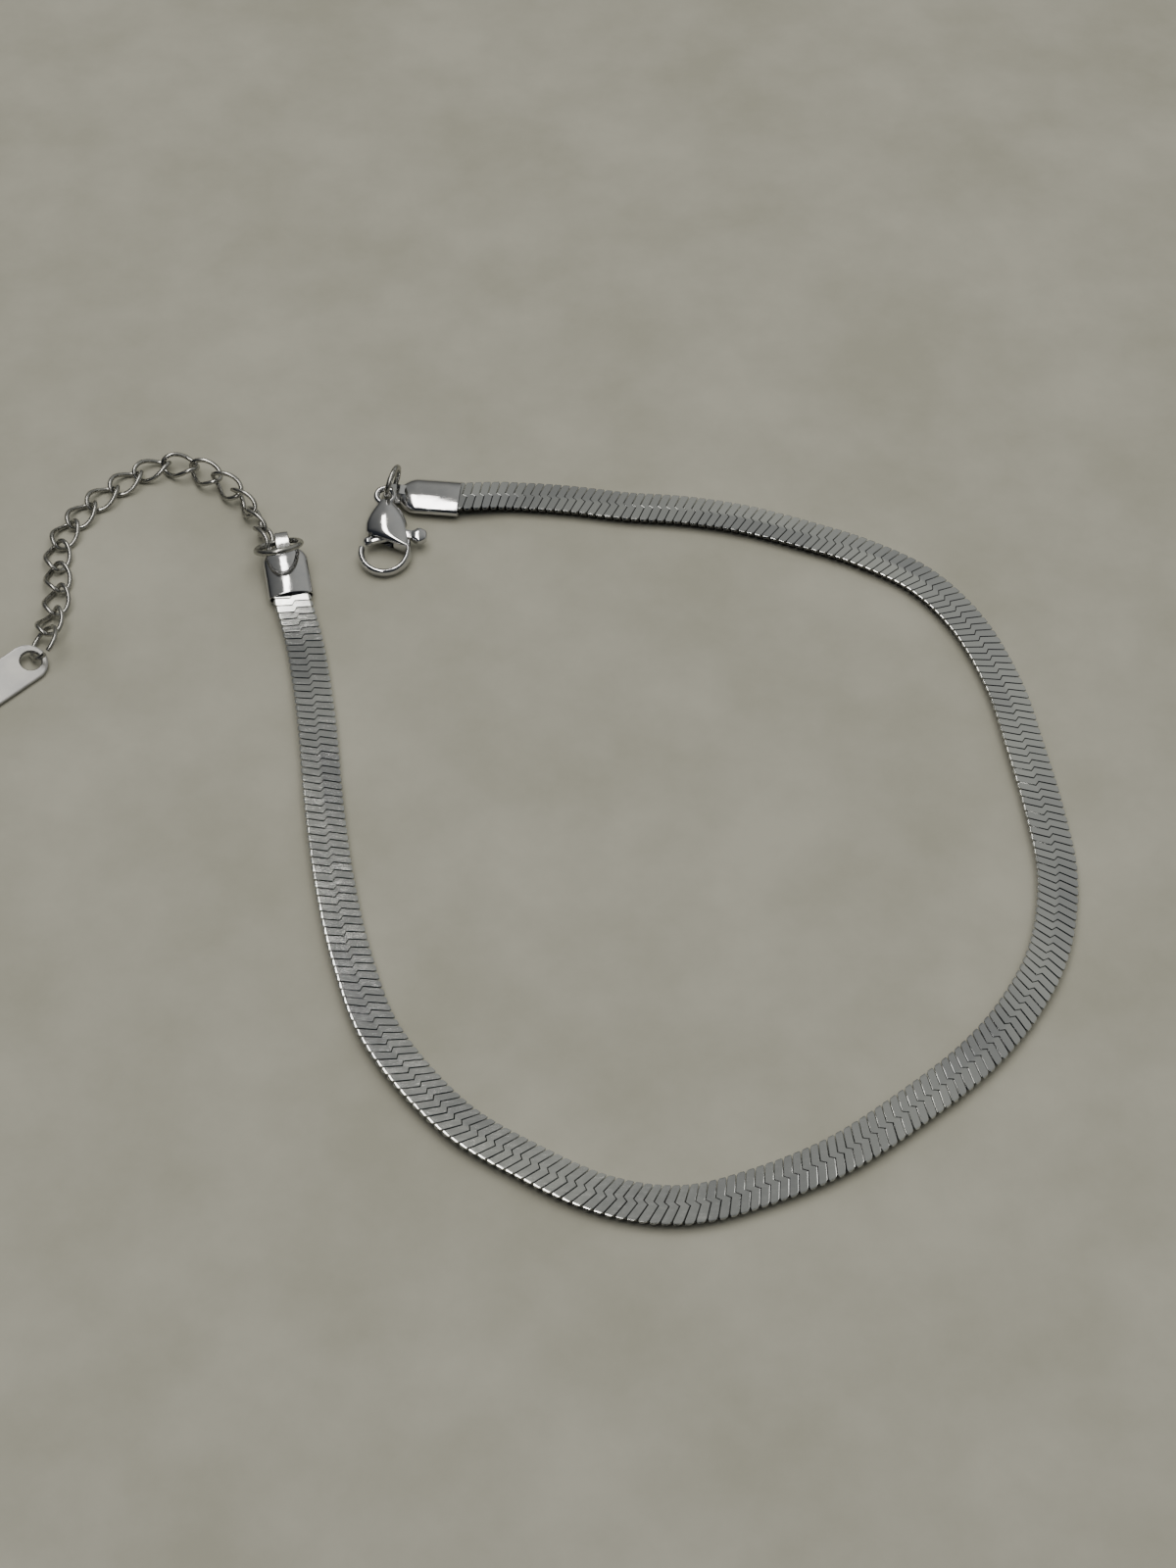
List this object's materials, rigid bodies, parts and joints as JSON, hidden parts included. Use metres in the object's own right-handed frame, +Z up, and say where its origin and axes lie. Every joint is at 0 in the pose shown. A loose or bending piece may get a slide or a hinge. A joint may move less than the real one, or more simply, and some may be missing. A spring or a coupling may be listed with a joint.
{
  "type": "chain anklet",
  "caption": "Flat herringbone chain anklet lying open, with end caps, a lobster clasp, a twisted link extender and a small plain end tag.",
  "frame": {"origin": "centre of the anklet's footprint, on the surface that it lies on", "axes": "+Z up off the surface, +X to the right and +Y away from the viewer, with both chain ends on the far left"},
  "size_m": [0.1122, 0.094, 0.0049],
  "materials": {
    "chain_steel": "polished plates with fine scratches",
    "polished_steel": "polished steel",
    "wire_steel": "drawn wire, tumbled",
    "tag_steel": "satin face with a bright bevel"
  },
  "bodies": {
    "anklet": {"herringbone_chain": "chain_steel", "clasp_end_cap": "polished_steel", "extender_end_cap": "polished_steel", "clasp_jump_ring": "wire_steel", "clasp_body": "polished_steel", "extender_jump_ring": "wire_steel", "extender_link_01": "wire_steel", "extender_link_02": "wire_steel", "extender_link_03": "wire_steel", "extender_link_04": "wire_steel", "extender_link_05": "wire_steel", "extender_link_06": "wire_steel", "extender_link_07": "wire_steel", "extender_link_08": "wire_steel", "extender_link_09": "wire_steel", "extender_link_10": "wire_steel", "extender_link_11": "wire_steel", "extender_link_12": "wire_steel", "extender_link_13": "wire_steel", "extender_link_14": "wire_steel", "extender_link_15": "wire_steel", "tag_jump_ring": "wire_steel", "end_tag": "tag_steel"},
    "trigger": {"clasp_trigger": "polished_steel"}
  },
  "joints": [
    {"name": "clasp_trigger", "type": "hinge", "parent": "anklet", "child": "trigger", "pos_m": [-0.01124, 0.03477, 0.00161], "axis": [0.005, -0.1926, 0.9813], "range_deg": [0, 24], "stiffness_Nm_per_rad": 0.00002, "springref_deg": -5.73}
  ]
}
